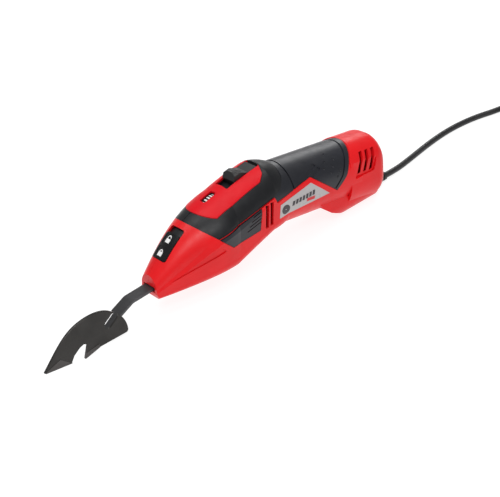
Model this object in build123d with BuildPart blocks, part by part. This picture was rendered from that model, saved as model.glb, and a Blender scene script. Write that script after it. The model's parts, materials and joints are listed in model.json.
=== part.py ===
from build123d import *
from math import atan2, cos, degrees, pi, radians, sin, tan
import os

# Corded reciprocating scraper with a carbide-edged joint blade.
#
# Everything is drawn in the tool's own coordinates: x runs back along the handle, z stands up from it and
# y is across, with the left side at -y. TOOL places those coordinates in the part's frame, where the tool
# lies on the floor (z = 0) on the barb of its blade and on the pommel under the rear of its handle.
os.makedirs("parts", exist_ok=True)

# ---------------------------------------------------------------- driving dimensions (mm)
WALL = 2.6                      # moulded shell
SKIN = 1.6                      # soft side pads, cover panel and groove are this deep
GAP = 0.1                       # half of the parting line between two moulded pieces
REACH = 45.0                    # further out than any piece of the body

HANDLE_R = 27.6
MOTOR_Z = 44.4                  # height of the handle's axis, which is the motor's axis too
HANDLE_START, HANDLE_END = -2.0, 108.0
GRIP_R = 27.9
GRIP_BED_R = 25.9
CAP_START, CAP_END = 96.0, 139.5
CAP_WIDTH, CAP_HEIGHT, CAP_Z, CAP_CORNER = 53.6, 60.2, 42.2, 24.0

SHANK_WIDTH, SHANK_THICK = 13.0, 2.0
BLADE_THICK = 2.0
SLIDE_ANGLE = 11.0              # the plunger's axis against the handle's axis
SLIDE_X, SLIDE_Z = -107.0, 0.3  # where the plunger's axis leaves the nose
STROKE = 1.5                    # to each side of the middle

SPINDLE_X = -14.0
GEAR_TEETH, PINION_TEETH = 32, 8
CORD_D = 5.6

BARB_X, BARB_Z = -174.0, -36.0  # point of the blade's barb, its lowest point (x, z)
POMMEL_X, POMMEL_Z = 115.0, 9.2  # middle of the pommel's flat (x, z)
POMMEL_FLAT = 24.0
POMMEL_WIDTH, POMMEL_ROUND = 43.0, 15.0

# ---------------------------------------------------------------- placing of the tool on the floor
PITCH = degrees(atan2(POMMEL_Z - BARB_Z, POMMEL_X - BARB_X))
BACK = (cos(radians(PITCH)), 0, -sin(radians(PITCH)))
UP = (sin(radians(PITCH)), 0, cos(radians(PITCH)))
REST_Z = BARB_X * sin(radians(PITCH)) - BARB_Z * cos(radians(PITCH))
MIDDLE_X = 26.0                 # brings the middle of the length over the origin
TOOL = Plane(origin=(MIDDLE_X, 0, REST_Z), x_dir=BACK, z_dir=UP)
SIDE = Plane(origin=TOOL.origin, x_dir=BACK, z_dir=(0, -1, 0))


def place(x, y, z):
    """A point of the tool in the part's frame."""
    return TOOL.from_local_coords(Vector(x, y, z))


def section(x):
    """The plane across the tool at x: its own x is the tool's y and its own y is the tool's z."""
    return Plane(origin=place(x, 0, 0), x_dir=(0, 1, 0), z_dir=BACK)


def side_plane(x, z, angle, y=0.0):
    """A plane parallel to SIDE at y, with its origin at (x, z) and its own x tilted up by angle."""
    turned = Vector(cos(radians(angle - PITCH)), 0, sin(radians(angle - PITCH)))
    return Plane(origin=place(x, y, z), x_dir=turned, z_dir=(0, -1, 0))


SLIDE = side_plane(SLIDE_X, SLIDE_Z, SLIDE_ANGLE)   # x runs back along the plunger, y away from it
SPINDLE_BACK, SPINDLE_UP = SPINDLE_X - SLIDE_X, MOTOR_Z - SLIDE_Z
SPINDLE_S = SPINDLE_BACK * cos(radians(SLIDE_ANGLE)) + SPINDLE_UP * sin(radians(SLIDE_ANGLE))
SPINDLE_H = SPINDLE_UP * cos(radians(SLIDE_ANGLE)) - SPINDLE_BACK * sin(radians(SLIDE_ANGLE))


def side_prism(outline, near, far, closer=0.0):
    """The solid between y = -near and y = -far whose side view is the outline, drawn in by closer."""
    with BuildPart() as prism:
        with BuildSketch(SIDE.offset(near)):
            with BuildLine():
                Polyline(*outline, close=True)
            make_face()
            if closer:
                offset(amount=-closer)
        extrude(amount=far - near)
    return prism.part


# ---------------------------------------------------------------- outer shape of the body
# Each station of the head: x, top, then half-width and height of the crease, of the widest line under it,
# of the start of the sole's rounding, and of the edge of the flat sole.
NOSE_STATIONS = [
    (-104.5, 12.0, 11.0, 0.6, 11.6, -1.2, 11.0, -4.8, 7.0, -8.2),
    (-94.0, 23.6, 14.6, 7.6, 15.8, 4.6, 14.2, -2.4, 9.5, -7.2),
    (-72.0, 43.8, 21.8, 22.5, 23.4, 17.8, 20.8, 2.8, 12.5, -4.8),
    (-52.0, 55.6, 28.0, 36.2, 30.0, 29.5, 25.8, 7.4, 15.5, -2.0),
    (-30.0, 64.8, 28.6, 43.0, 30.2, 36.5, 27.2, 11.6, 17.0, 1.6),
]
NECK_STATIONS = [
    NOSE_STATIONS[-1],
    (-12.0, 71.8, 28.8, 48.9, 30.0, 43.5, 27.6, 21.0, 17.4, 10.4),
    (10.0, 78.4, 28.4, 55.8, 29.4, 50.5, 27.0, 30.0, 17.0, 20.2),
]
COLLAR_STATIONS = [
    NECK_STATIONS[-1],
    (19.0, 76.4, 27.6, 54.0, 28.2, 48.5, 26.0, 31.0, 13.0, 20.6),
    (29.0, 71.7, 26.6, 50.0, 27.3, 46.0, 23.5, 32.5, 8.0, 22.0),
]


def head_shape(inset):
    """The solid of the nose, neck and collar, drawn inside the outer shape by inset."""
    with BuildPart() as shape:
        for stations in (NOSE_STATIONS, NECK_STATIONS, COLLAR_STATIONS):
            for station in stations:
                x, top, crease_y, crease_z, side_y, side_z, low_y, low_z, sole_y, sole_z = station
                crease_y, side_y, low_y, sole_y = (w - inset for w in (crease_y, side_y, low_y, sole_y))
                top, sole_z, low_z = top - inset, sole_z + inset, low_z + inset * 0.5
                bend_y = sole_y + (low_y - sole_y) * 0.72
                bend_z = sole_z + (low_z - sole_z) * 0.30
                front = max(inset, 0) if station is NOSE_STATIONS[0] else 0
                with BuildSketch(section(x + front)):
                    with BuildLine():
                        ThreePointArc((-crease_y, crease_z), (0, top), (crease_y, crease_z))
                        Polyline((crease_y, crease_z), (side_y, side_z), (low_y, low_z))
                        ThreePointArc((low_y, low_z), (bend_y, bend_z), (sole_y, sole_z))
                        Line((sole_y, sole_z), (-sole_y, sole_z))
                        ThreePointArc((-sole_y, sole_z), (-bend_y, bend_z), (-low_y, low_z))
                        Polyline((-low_y, low_z), (-side_y, side_z), (-crease_y, crease_z))
                    make_face()
            loft()
    return shape.part


def handle_shape(inset):
    """The solid of the round handle and the rear cap, drawn inside the outer shape by inset."""
    with BuildPart() as shape:
        with BuildSketch(section(HANDLE_START)):
            with Locations((0, MOTOR_Z)):
                Circle(HANDLE_R - inset)
        extrude(amount=HANDLE_END - HANDLE_START)
        with BuildSketch(section(CAP_START)):
            with Locations((0, CAP_Z)):
                RectangleRounded(CAP_WIDTH - 2 * inset, CAP_HEIGHT - 2 * inset, CAP_CORNER - inset)
        extrude(amount=CAP_END - inset - CAP_START)
        rear = shape.faces().sort_by(Axis(TOOL.origin, BACK))[-1]
        fillet(rear.edges(), 10.5 - inset)
    return shape.part


def pommel_shape():
    """The rounded chin under the rear of the handle, with the flat that the tool lies on."""
    rise = POMMEL_FLAT / 2 * tan(radians(PITCH))
    with BuildPart() as shape:
        with BuildSketch(SIDE) as chin:
            with BuildLine():
                Polyline(
                    (62, 34), (66, 23), (76, 16.0), (88, 11.0), (98, 8.4),
                    (POMMEL_X - POMMEL_FLAT / 2, POMMEL_Z - rise),
                    (POMMEL_X + POMMEL_FLAT / 2, POMMEL_Z + rise),
                    (133, 15.0), (133, 34), close=True,
                )
            make_face()
        extrude(amount=POMMEL_WIDTH / 2, both=True)
        with BuildSketch(Plane.YZ):
            with Locations((0, 35)):
                RectangleRounded(POMMEL_WIDTH, 70, POMMEL_ROUND)
        extrude(amount=200, mode=Mode.INTERSECT)
    return shape.part


# ---------------------------------------------------------------- side views of the coloured zones
SEAM_TOP, SEAM_LOW = (-80.0, 58.2), (-37.6, 23.9)
COVER_UPPER = [
    (-95.0, 60.0), (-60.0, 33.2), (8.0, 55.6), (16.0, 60.0), (21.5, 66.0), (24.4, 73.0), (25.0, 90.0),
    (-95.0, 95.0),
]
COVER_LOWER = [
    SEAM_TOP, (-50.4, 34.3), (8.6, 53.4), (17.6, 58.2), (23.5, 65.2), (26.4, 72.8), (27.0, 90.0),
    (-60.0, 95.0),
]
SIDE_PAD = [(-50.0, 34.0), SEAM_LOW, (-8.2, 29.2), (-6.4, 48.2)]
PAD_GROOVE = [(-50.2, 33.6), (-50.4, 34.7), (-6.2, 49.0), (-6.2, 47.8)]   # between the cover and the side pad
GRIP = [
    (8.8, 53.2), (10.9, 48.2), (51.0, 58.6), (78.4, 38.9), (90.2, 49.6), (96.5, 60.3), (104.5, 72.0),
    (106.0, 80.0), (27.2, 90.0), (26.6, 72.8), (23.7, 65.1), (17.8, 58.0),
]
GRIP_BEAD = [
    (75.6, 42.0), (84.6, 51.2), (90.6, 61.0), (97.8, 72.0), (98.5, 80.0), (100.0, 80.0), (99.3, 71.6),
    (91.9, 60.4), (85.8, 50.2), (76.6, 40.9),
]
LABEL = [(14.4, 44.8), (50.0, 54.0), (69.5, 39.0), (13.6, 32.4)]


def between(outer, inner, outline, near, far, closer=0.0):
    """The layer between two nested solids, cut to an outline seen from the side."""
    with BuildPart() as layer:
        add(outer)
        add(inner, mode=Mode.SUBTRACT)
        add(side_prism(outline, near, far, closer), mode=Mode.INTERSECT)
    return layer.part


def cross_pin(x, z, radius, start, end):
    """A round bar across the tool at (x, z), from y = start to y = end."""
    with BuildPart() as bar:
        with BuildSketch(side_plane(x, z, 0, start)):
            Circle(radius)
        extrude(amount=start - end)
    return bar.part


def long_bar(x_start, x_end, z, radius, bore=0.0, y=0.0):
    """A round bar or ring along the tool's x."""
    with BuildPart() as bar:
        with BuildSketch(section(x_start)):
            with Locations((y, z)):
                Circle(radius)
                if bore:
                    Circle(bore, mode=Mode.SUBTRACT)
        extrude(amount=x_end - x_start)
    return bar.part


head, head_core, head_skin = head_shape(0), head_shape(WALL), head_shape(SKIN)
handle, handle_core = handle_shape(0), handle_shape(WALL)

# ---------------------------------------------------------------- openings of the shells
SCREWS = [      # x, z, y of the seat of the head
    (-60.0, 28.0, 17.6), (10.5, 27.0, 17.6), (86.0, 21.0, 9.6), (128.0, 58.0, 17.6), (119.0, 22.0, 15.6),
]
SCREW_REACH = 26.0
SCREW_R, SCREW_HEAD_R, BOSS_R = 1.6, 3.2, 4.0
NOSE_SLOT_WIDTH, NOSE_SLOT_HEIGHT = 16.6, 4.6
NOSE_TOP = side_plane(-83.0, 33.4, 43.5)            # lies along the slope of the nose's back
LOCK_LENGTH, LOCK_WIDTH, LOCK_TRAVEL = 31.0, 18.4, 6.0
LOUVRES = 3
CORD_EXIT_Z = 19.4
BED_GAP = 0.3                   # play round the soft pieces in their beds
FLANK_RECESS = [(-93.0, 6.0), (-49.8, 28.6), (-45.0, 22.6), (-67.0, 15.2)]
FLANK_DEPTH = 0.8

with BuildPart() as nose_slot:
    with BuildSketch(SLIDE.offset(-NOSE_SLOT_WIDTH / 2)):
        with Locations((6, -0.3)):
            Rectangle(26, NOSE_SLOT_HEIGHT)
    extrude(amount=NOSE_SLOT_WIDTH)
    with BuildSketch(SIDE.offset(-REACH)):
        with BuildLine():
            Polyline((-112, -3.0), (-104.4, -3.0), (-101.4, -9.5), (-112, -14), close=True)
        make_face()
    extrude(amount=2 * REACH)

with BuildPart() as lock_bay:
    with BuildSketch(Plane(origin=NOSE_TOP.origin, x_dir=NOSE_TOP.x_dir, z_dir=NOSE_TOP.y_dir)):
        RectangleRounded(LOCK_LENGTH, LOCK_WIDTH, 2.4)
    extrude(amount=14, both=True)

with BuildPart() as vents:
    for x, low, high in ((-0.6, 28.6, 49.6), (4.6, 29.6, 50.8)):
        with BuildSketch(SIDE.offset(-REACH)):
            with Locations((x, (low + high) / 2)):
                Rectangle(3.3, high - low)
        extrude(amount=2 * REACH)
    for step in range(LOUVRES):
        x = 103.6 + 6.9 * step
        with BuildSketch(SIDE.offset(-REACH)):
            with BuildLine():
                Polyline((x, 45.6), (x + 5.6, 63.6), (x + 9.4, 64.2), (x + 3.6, 46.2), close=True)
            make_face()
        extrude(amount=2 * REACH)

with BuildPart() as cap_recess:
    for near in (-REACH, CAP_WIDTH / 2 - 1.6):
        with BuildSketch(SIDE.offset(near)):
            with BuildLine():
                Polyline((98.4, 65.0), (100.4, 42.6), (122.4, 44.6), (130.2, 66.6), close=True)
            make_face()
        extrude(amount=REACH - CAP_WIDTH / 2 + 1.6)

with BuildPart() as grip_bed:
    add(side_prism(GRIP, -REACH, REACH, -BED_GAP))
    add(long_bar(0, 112, MOTOR_Z, GRIP_BED_R), mode=Mode.SUBTRACT)

with BuildPart() as flank_recess:
    add(side_prism(FLANK_RECESS, -REACH, REACH))
    add(head_shape(FLANK_DEPTH), mode=Mode.SUBTRACT)

with BuildPart() as pad_beds:
    add(side_prism(SIDE_PAD, -REACH, REACH, -BED_GAP))
    add(side_prism(PAD_GROOVE, -REACH, REACH))
    add(head_skin, mode=Mode.SUBTRACT)

# ---------------------------------------------------------------- red shells
with BuildPart() as screw_bars:
    for x, z, _ in SCREWS:
        add(cross_pin(x, z, BOSS_R, -24, 24))

with BuildPart() as bosses:
    add(head)
    add(handle)
    add(pommel_shape())
    add(screw_bars.part, mode=Mode.INTERSECT)

with BuildPart() as shell:
    add(head)
    add(handle)
    add(pommel_shape())
    add(head_core, mode=Mode.SUBTRACT)
    add(handle_core, mode=Mode.SUBTRACT)
    add(bosses.part)
    add(side_prism(COVER_LOWER, -REACH, REACH), mode=Mode.SUBTRACT)
    for opening in (grip_bed, pad_beds, flank_recess, nose_slot, lock_bay, vents, cap_recess):
        add(opening.part, mode=Mode.SUBTRACT)
    for x, z, head_y in SCREWS:
        add(cross_pin(x, z, SCREW_R, head_y - SCREW_REACH - 1, REACH), mode=Mode.SUBTRACT)
        add(cross_pin(x, z, SCREW_HEAD_R, head_y, REACH), mode=Mode.SUBTRACT)
    add(long_bar(CAP_END - 10, CAP_END + 6, CORD_EXIT_Z, 4.9), mode=Mode.SUBTRACT)

with BuildPart() as housing_left:
    add(shell.part)
    split(bisect_by=Plane.XZ.offset(GAP), keep=Keep.TOP)
housing_left.part.label = "housing_left"
export_step(housing_left.part, "parts/housing_left.step")
with BuildPart() as housing_right:
    add(shell.part)
    split(bisect_by=Plane.XZ.offset(-GAP), keep=Keep.BOTTOM)
housing_right.part.label = "housing_right"
export_step(housing_right.part, "parts/housing_right.step")

with BuildPart() as housing_screws:
    for x, z, head_y in SCREWS:
        add(cross_pin(x, z, SCREW_R - 0.05, head_y - SCREW_REACH, head_y + 0.5))
        add(cross_pin(x, z, SCREW_HEAD_R - 0.1, head_y, head_y + 2.4))
        for angle in (45, 135):
            with BuildSketch(side_plane(x, z, angle, head_y + 2.4)):
                Rectangle(3.6, 0.8)
            extrude(amount=1.2, mode=Mode.SUBTRACT)
housing_screws.part.label = "housing_screws"
export_step(housing_screws.part, "parts/housing_screws.step")

# ---------------------------------------------------------------- black cover, red panel, soft pads and grip
PANEL_SKIN = 1.4
LABEL_THICK = 0.25
CHANNEL_WIDTH, CHANNEL_FRONT, CHANNEL_REAR = 16.4, -25.6, 8.6
CHANNEL = side_plane(-12.0, 71.6, 18.0)             # lies along the slope of the cover's back
WINDOW_X, WINDOW_LENGTH, WINDOW_WIDTH = -39.5, 12.4, 7.4
DIAL_X, DIAL_Z, DIAL_R, DIAL_WIDTH, AXLE_R = -34.6, 49.6, 11.0, 5.0, 1.5
ABOVE = Plane(origin=place(0, 0, 40), x_dir=BACK, z_dir=UP)

with BuildPart() as channel:
    with BuildSketch(ABOVE):
        with Locations(((CHANNEL_FRONT + CHANNEL_REAR) / 2, 0)):
            RectangleRounded(CHANNEL_REAR - CHANNEL_FRONT, CHANNEL_WIDTH, 1.2)
    extrude(amount=50)

with BuildPart() as window:
    with BuildSketch(ABOVE):
        with Locations((WINDOW_X, 0)):
            RectangleRounded(WINDOW_LENGTH, WINDOW_WIDTH, 1.2)
    extrude(amount=50)

with BuildPart() as panel_prism:
    with BuildSketch(ABOVE) as panel_plan:
        with BuildLine():
            ThreePointArc((-46.0, -21.0), (-57.2, 0), (-46.0, 21.0))
            Polyline(
                (-46.0, 21.0), (0.4, 20.0), (6.0, 16.0), (8.6, 8.0),
                (8.6, -8.0), (6.0, -16.0), (0.4, -20.0), (-46.0, -21.0),
            )
        make_face()
        fillet(panel_plan.vertices(), 1.0)
    extrude(amount=50)

with BuildPart() as panel_bed:
    with BuildSketch(ABOVE):
        add(panel_plan.sketch_local)
        offset(amount=0.35)
    extrude(amount=50)
    add(head_shape(PANEL_SKIN), mode=Mode.SUBTRACT)

with BuildPart() as groove:
    add(side_prism(COVER_LOWER, -REACH, REACH))
    add(side_prism(COVER_UPPER, -REACH, REACH), mode=Mode.SUBTRACT)
    add(head_skin, mode=Mode.SUBTRACT)

with BuildPart() as top_cover:
    add(head)
    add(head_core, mode=Mode.SUBTRACT)
    for y in (-5.6, 4.2):
        with BuildSketch(SIDE.offset(-y - 1.4)):
            with BuildLine():
                Polyline((-38.6, 46.6), (-32.4, 46.6), (-32.4, 62.0), (-38.6, 59.5), close=True)
            make_face()
        extrude(amount=1.4)
    add(side_prism(COVER_LOWER, -REACH, REACH, GAP), mode=Mode.INTERSECT)
    for cut in (groove, panel_bed, channel, window):
        add(cut.part, mode=Mode.SUBTRACT)
    with BuildSketch(ABOVE):
        with Locations((-62, 0)):
            Rectangle(16, 0.5)
    extrude(amount=50, mode=Mode.SUBTRACT)
    add(cross_pin(DIAL_X, DIAL_Z, AXLE_R + 0.05, -8, 8), mode=Mode.SUBTRACT)
top_cover.part.label = "top_cover"
export_step(top_cover.part, "parts/top_cover.step")

with BuildPart() as top_panel:
    add(head_shape(-0.35))
    add(head_shape(PANEL_SKIN), mode=Mode.SUBTRACT)
    add(panel_prism.part, mode=Mode.INTERSECT)
    for cut in (channel, window):
        add(cut.part, mode=Mode.SUBTRACT)
top_panel.part.label = "top_panel"
export_step(top_panel.part, "parts/top_panel.step")

for side_name, near, far in (("left", 5, REACH), ("right", -REACH, -5)):
    with BuildPart() as side_pad:
        add(between(head_shape(-0.1), head_skin, SIDE_PAD, near, far, GAP))
        for step in range(4):
            with BuildSketch(SIDE.offset(near)):
                with Locations(Location((-15.0 + 1.2 * step, 35.0 + 3.4 * step), 18.0)):
                    Rectangle(16.0 - 2.4 * step, 0.9)
            extrude(amount=far - near, mode=Mode.SUBTRACT)
    side_pad.part.label = f"side_pad_{side_name}"
    export_step(side_pad.part, f"parts/side_pad_{side_name}.step")

GRIP_STRIPES = [
    [(31.0, 54.0), (33.4, 52.2), (61.6, 64.6), (59.2, 66.4)],
    [(36.4, 51.6), (38.6, 50.6), (55.0, 57.8), (64.4, 61.6), (62.2, 63.4)],
]
STRIPE_DEPTH, BEAD_DEPTH = 0.6, 0.9
DOT_R, DOT_SINK = 1.15, 0.35

with BuildPart() as grip_bead:
    add(side_prism(GRIP_BEAD, -REACH, REACH))
    add(long_bar(60, 112, MOTOR_Z, GRIP_R - BEAD_DEPTH), mode=Mode.SUBTRACT)

with BuildPart() as grip_relief:
    for stripe in GRIP_STRIPES:
        add(side_prism(stripe, -REACH, REACH))
    add(long_bar(0, 112, MOTOR_Z, GRIP_R - STRIPE_DEPTH), mode=Mode.SUBTRACT)

with BuildPart() as grip_dots:
    for row in range(3):
        for column in range(3 - row // 2):
            x, z = 67.6 + 3.9 * column + 6.0 * row, 60.6 + 4.3 * column - 4.6 * row
            side_y = (GRIP_R**2 - (z - MOTOR_Z) ** 2) ** 0.5
            for way in (-1, 1):
                with Locations(Location(place(x, way * (side_y + DOT_SINK), z))):
                    Sphere(DOT_R)

with BuildPart() as handle_grip:
    add(long_bar(2, 112, MOTOR_Z, GRIP_R, GRIP_BED_R))
    add(side_prism(GRIP, -REACH, REACH, GAP), mode=Mode.INTERSECT)
    add(long_bar(30.4, 31.8, MOTOR_Z, GRIP_R + 1, GRIP_R - 1.0), mode=Mode.SUBTRACT)
    for cut in (grip_bead, grip_relief, grip_dots):
        add(cut.part, mode=Mode.SUBTRACT)
handle_grip.part.label = "handle_grip"
export_step(handle_grip.part, "parts/handle_grip.step")

with BuildPart() as label_skin:
    add(head_shape(-LABEL_THICK))
    add(long_bar(HANDLE_START, 80, MOTOR_Z, HANDLE_R + LABEL_THICK))
    add(head, mode=Mode.SUBTRACT)
    add(handle, mode=Mode.SUBTRACT)

for side_name, near, far in (("left", 0, REACH), ("right", -REACH, 0)):
    with BuildPart() as label_plate:
        add(label_skin.part)
        add(side_prism(LABEL, near, far), mode=Mode.INTERSECT)
    label_plate.part.label = f"label_{side_name}"
    export_step(label_plate.part, f"parts/label_{side_name}.step")

# ---------------------------------------------------------------- lock slider on the nose
LOCK_ACROSS = Plane(origin=NOSE_TOP.origin, x_dir=NOSE_TOP.x_dir, z_dir=NOSE_TOP.y_dir)
LOCK_MIDDLE = -LOCK_TRAVEL / 2
STEM_LENGTH, STEM_WIDTH = 4.0, 6.0

with BuildPart() as lock_bed:
    add(head_shape(WALL + 0.45))
    add(head_shape(WALL + 1.8), mode=Mode.SUBTRACT)
    with BuildSketch(LOCK_ACROSS):
        RectangleRounded(LOCK_LENGTH + 3, LOCK_WIDTH + 3, 3)
    extrude(amount=14, both=True, mode=Mode.INTERSECT)
    with BuildSketch(LOCK_ACROSS):
        Rectangle(STEM_LENGTH + LOCK_TRAVEL + 1, STEM_WIDTH + 1)
    extrude(amount=14, both=True, mode=Mode.SUBTRACT)
lock_bed.part.label = "lock_bed"
export_step(lock_bed.part, "parts/lock_bed.step")

with BuildPart() as lock_marks:
    with BuildSketch(LOCK_ACROSS):
        for step in (-6.2, 6.2):
            with Locations((LOCK_MIDDLE + step, 0)):
                RectangleRounded(10.2, 13.0, 2.0)
    extrude(amount=14, both=True)
    add(head_shape(-0.15), mode=Mode.SUBTRACT)

with BuildPart() as lock_slider:
    add(head_shape(-0.7))
    add(head_shape(WALL - 0.5), mode=Mode.SUBTRACT)
    with BuildSketch(LOCK_ACROSS):
        with Locations((LOCK_MIDDLE, 0)):
            RectangleRounded(LOCK_LENGTH - LOCK_TRAVEL - 0.8, LOCK_WIDTH - 0.8, 2.0)
    extrude(amount=14, both=True, mode=Mode.INTERSECT)
    add(lock_marks.part, mode=Mode.SUBTRACT)
    with BuildSketch(LOCK_ACROSS.offset(-7)):
        with Locations((LOCK_MIDDLE, 0)):
            Rectangle(STEM_LENGTH, STEM_WIDTH)
    extrude(amount=7)
lock_slider.part.label = "lock_slider"
export_step(lock_slider.part, "parts/lock_slider.step")

# ---------------------------------------------------------------- speed dial under the window
with BuildPart() as speed_dial:
    with BuildSketch(side_plane(DIAL_X, DIAL_Z, 0, -DIAL_WIDTH / 2)):
        Circle(DIAL_R)
        with PolarLocations(DIAL_R, 24):
            Rectangle(1.2, 1.5, mode=Mode.SUBTRACT)
        Circle(AXLE_R + 0.1, mode=Mode.SUBTRACT)
    extrude(amount=-DIAL_WIDTH)
speed_dial.part.label = "speed_dial"
export_step(speed_dial.part, "parts/speed_dial.step")

with BuildPart() as dial_axle:
    add(cross_pin(DIAL_X, DIAL_Z, AXLE_R, -5.6, 5.6))
dial_axle.part.label = "dial_axle"
export_step(dial_axle.part, "parts/dial_axle.step")

# ---------------------------------------------------------------- slide switch
BUTTON_WIDTH = CHANNEL_WIDTH - 0.8
CROWN_DROP = 3.0

with BuildPart() as switch_tray:
    with BuildSketch(CHANNEL.offset(-9.4)):
        with Locations((5.0, -6.0)):
            Rectangle(36.0, 1.5)
    extrude(amount=18.8)
    with BuildSketch(CHANNEL.offset(-2.4)):
        with Locations((1.5, -6.0)):
            Rectangle(12.8, 4.0)
    extrude(amount=4.8, mode=Mode.SUBTRACT)
switch_tray.part.label = "switch_tray"
export_step(switch_tray.part, "parts/switch_tray.step")

with BuildPart() as switch_crown:
    for step in (-20, 30):
        slot_start = CHANNEL.from_local_coords((step, 0, 0))
        with BuildSketch(Plane(origin=slot_start, x_dir=(0, 1, 0), z_dir=CHANNEL.x_dir)):
            with BuildLine():
                ThreePointArc((-9, 5.8 - CROWN_DROP), (0, 5.8), (9, 5.8 - CROWN_DROP))
                Polyline((9, 5.8 - CROWN_DROP), (9, -12), (-9, -12), (-9, 5.8 - CROWN_DROP))
            make_face()
    loft()

with BuildPart() as switch_button:
    with BuildSketch(CHANNEL.offset(-BUTTON_WIDTH / 2)):
        with BuildLine():
            Polyline(
                (-6.0, -4.6), (-6.0, 0.2), (-1.8, 5.8), (1.5, 4.4), (6.4, 1.2), (10.0, -0.7), (19.5, -0.9),
                (19.5, -2.6), (8.0, -4.6), close=True,
            )
        make_face()
    extrude(amount=BUTTON_WIDTH)
    add(switch_crown.part, mode=Mode.INTERSECT)
    with BuildSketch(CHANNEL.offset(-2.0)):
        with Locations((5.0, -6.2)):
            Rectangle(4.0, 4.4)
    extrude(amount=4.0)
    for step in range(4):
        with BuildSketch(CHANNEL.offset(-BUTTON_WIDTH / 2)):
            with Locations(Location((0.6 + 1.5 * step, 5.0 - 0.98 * step), -33.0)):
                Rectangle(0.6, 0.9)
        extrude(amount=BUTTON_WIDTH, mode=Mode.SUBTRACT)
switch_button.part.label = "switch_button"
export_step(switch_button.part, "parts/switch_button.step")

with BuildPart() as switch_module:
    with BuildSketch(CHANNEL.offset(-3.0)):
        with Locations((5.0, -10.4)):
            Rectangle(20.0, 6.4)
    extrude(amount=11.0)
    with BuildSketch(CHANNEL.offset(-2.4)):
        with Locations((1.5, -7.6)):
            Rectangle(12.8, 3.0)
    extrude(amount=4.8, mode=Mode.SUBTRACT)
switch_module.part.label = "switch_module"
export_step(switch_module.part, "parts/switch_module.step")

# ---------------------------------------------------------------- blade, its hard tips and the flat shank
BLADE_SIDE = SIDE.offset(SHANK_WIDTH / 2 - BLADE_THICK)
CARBIDE_PROUD = 0.25
TIP_FACET = [(-209.6, -35.0), (-208.6, -33.4), (-196.0, -27.7), (-185.6, -35.0)]
BARB_FACET = [(-174.0, -36.0), (-172.6, -31.0), (-159.9, -27.6), (-159.9, -30.9)]
BLADE_HOLE_X, BLADE_HOLE_Z = -146.6, -11.6

with BuildPart() as carbide_tip:
    with BuildSketch(BLADE_SIDE.offset(-CARBIDE_PROUD)):
        with BuildLine():
            Polyline(*TIP_FACET, close=True)
        make_face()
    extrude(amount=BLADE_THICK + 2 * CARBIDE_PROUD)
carbide_tip.part.label = "carbide_tip"
export_step(carbide_tip.part, "parts/carbide_tip.step")

with BuildPart() as carbide_barb:
    with BuildSketch(BLADE_SIDE.offset(-CARBIDE_PROUD)):
        with BuildLine():
            Polyline(*BARB_FACET, close=True)
        make_face()
    extrude(amount=BLADE_THICK + 2 * CARBIDE_PROUD)
carbide_barb.part.label = "carbide_barb"
export_step(carbide_barb.part, "parts/carbide_barb.step")

with BuildPart() as blade:
    with BuildSketch(BLADE_SIDE):
        with BuildLine():
            Spline(
                (-210.8, -34.2), (-198.0, -19.0), (-184.0, -6.4), (-169.0, -0.6), (-152.0, -0.9), (-144.5, -4.8),
            )
            Spline((-144.5, -4.8), (-137.0, -11.2), (-133.4, -18.0), (-132.2, -24.6))
            ThreePointArc((-132.2, -24.6), (-132.9, -26.4), (-134.6, -27.2))
            Polyline(
                (-134.6, -27.2), (-162.0, -31.0), (BARB_X, BARB_Z), (-171.2, -26.0), (-170.4, -24.0),
                (-173.6, -22.6),
                (-177.4, -24.2), (-183.2, -29.2), (-186.6, -35.0), (-209.6, -35.0), (-210.8, -34.2),
            )
        make_face()
        with Locations(Location((BLADE_HOLE_X, BLADE_HOLE_Z), 40.0)):
            SlotOverall(15.0, 7.2, mode=Mode.SUBTRACT)
    extrude(amount=BLADE_THICK)
    near_rim = blade.faces().sort_by(Axis.Y)[0].outer_wire().edges().sort_by(Axis.Z)[-2:]
    chamfer(near_rim, 0.5)
    add(carbide_tip.part, mode=Mode.SUBTRACT)
    add(carbide_barb.part, mode=Mode.SUBTRACT)
blade.part.label = "blade"
export_step(blade.part, "parts/blade.step")

SHANK_END = side_plane(-138.3, -11.4, 40.0)
CLAMP_START, CLAMP_END = 9.0, 22.4              # along the plunger's axis


def clamp_plane(offset):
    """A plane along the plunger at the pin of the tool clamp, square to the clamp's pin."""
    return Plane(origin=SLIDE.from_local_coords((CLAMP_START + 6.5, offset)), x_dir=SLIDE.x_dir, z_dir=SLIDE.y_dir)


with BuildPart() as shank:
    with BuildLine(SIDE):
        FilletPolyline((-88.0, 3.99), (-125.0, -3.2), (-138.3, -11.4), (-149.4, -21.0), radius=7.0)
    shank_start = SIDE.from_local_coords((-88.0, 3.99))
    with BuildSketch(Plane(origin=shank_start, x_dir=(0, 1, 0), z_dir=-SLIDE.x_dir)):
        Rectangle(SHANK_WIDTH, SHANK_THICK)
    sweep()
    with BuildSketch(SHANK_END.offset(-2 * SHANK_WIDTH)):
        with Locations((-10.0, 0)):
            Rectangle(20.0, 12.0)
    extrude(amount=2 * SHANK_WIDTH - 2.5, mode=Mode.SUBTRACT)
    add(blade.part, mode=Mode.SUBTRACT)
    with BuildSketch(clamp_plane(0)):
        Circle(1.6)
    extrude(amount=4, both=True, mode=Mode.SUBTRACT)
shank.part.label = "shank"
export_step(shank.part, "parts/shank.step")

# ---------------------------------------------------------------- plunger: clamp, rod and yoke
ROD_R = 4.5
ROD_END = 92.0
YOKE_NEAR, YOKE_FAR = 5.0, 9.8
CAM_R = 6.0
CLEAR = 0.3
YOKE_WINDOW_LENGTH = 2 * (CAM_R + 2 * STROKE + CLEAR)
YOKE_WINDOW_HEIGHT = 2 * (CAM_R + STROKE + CLEAR)
BUSHES = [      # name, start, length, radius, half-width of guide
    ("front", 24.5, 7.0, 6.8, 9.0), ("rear", 60.0, 9.0, 7.5, 16.0),
]


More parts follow.
